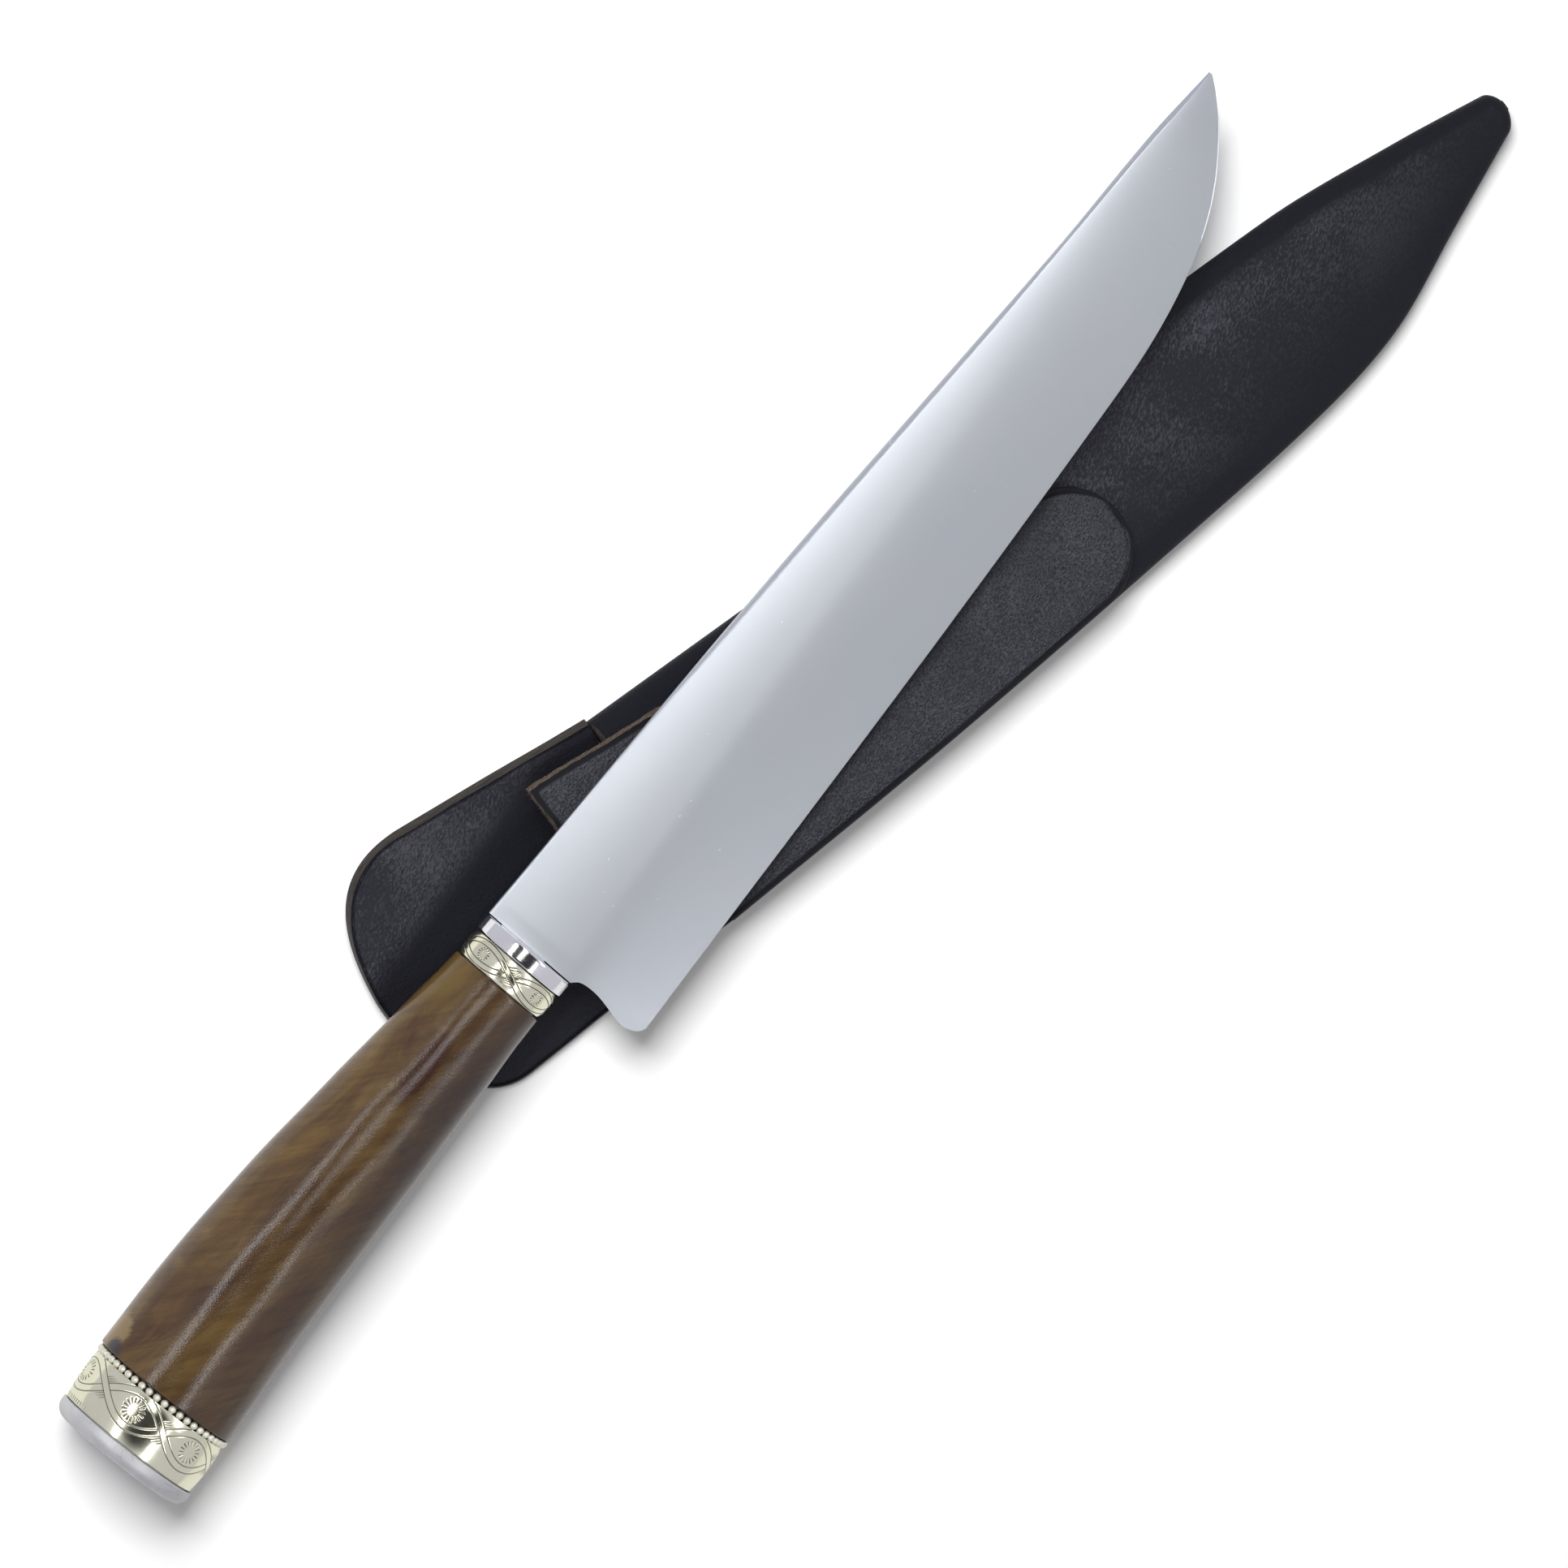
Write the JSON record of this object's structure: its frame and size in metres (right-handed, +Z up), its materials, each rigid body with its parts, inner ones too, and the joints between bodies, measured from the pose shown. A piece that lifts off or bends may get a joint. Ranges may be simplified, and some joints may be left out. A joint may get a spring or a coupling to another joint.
{
  "type": "gaucho knife",
  "caption": "Gaucho knife with a single-edged steel blade, a polished oval grip and engraved ferrules, laid across its wrapped leather sheath with a belt tongue.",
  "frame": {"origin": "on the table, under the middle of the knife and sheath together", "axes": "+X along the sheath from its mouth to its tip, +Y to the blade's spine side, +Z up"},
  "size_m": [0.4438, 0.123, 0.0283],
  "materials": {
    "stainless_steel": "bright satin",
    "nickel_silver": "polished, engraved on the ferrules",
    "polished_wood": "polished",
    "resin": "cast",
    "smooth_leather": "smooth, dyed black",
    "pebbled_leather": "pebbled grain",
    "waxed_lace": "waxed"
  },
  "bodies": {
    "sheath": {"sheath_shell": "smooth_leather", "mouth_panel": "smooth_leather", "belt_tongue": "pebbled_leather", "seam_lace": "waxed_lace"},
    "knife": {"blade": "stainless_steel", "front_bolster": "nickel_silver", "front_ferrule": "nickel_silver", "grip": "polished_wood", "tang_bedding": "resin", "rear_bead_ring": "nickel_silver", "rear_ferrule": "nickel_silver", "pommel_cap": "nickel_silver"}
  },
  "joints": [
    {"name": "knife_lift", "type": "slide", "parent": "sheath", "child": "knife", "axis": [0, 0, 1], "range_m": [0, 0.1]}
  ]
}
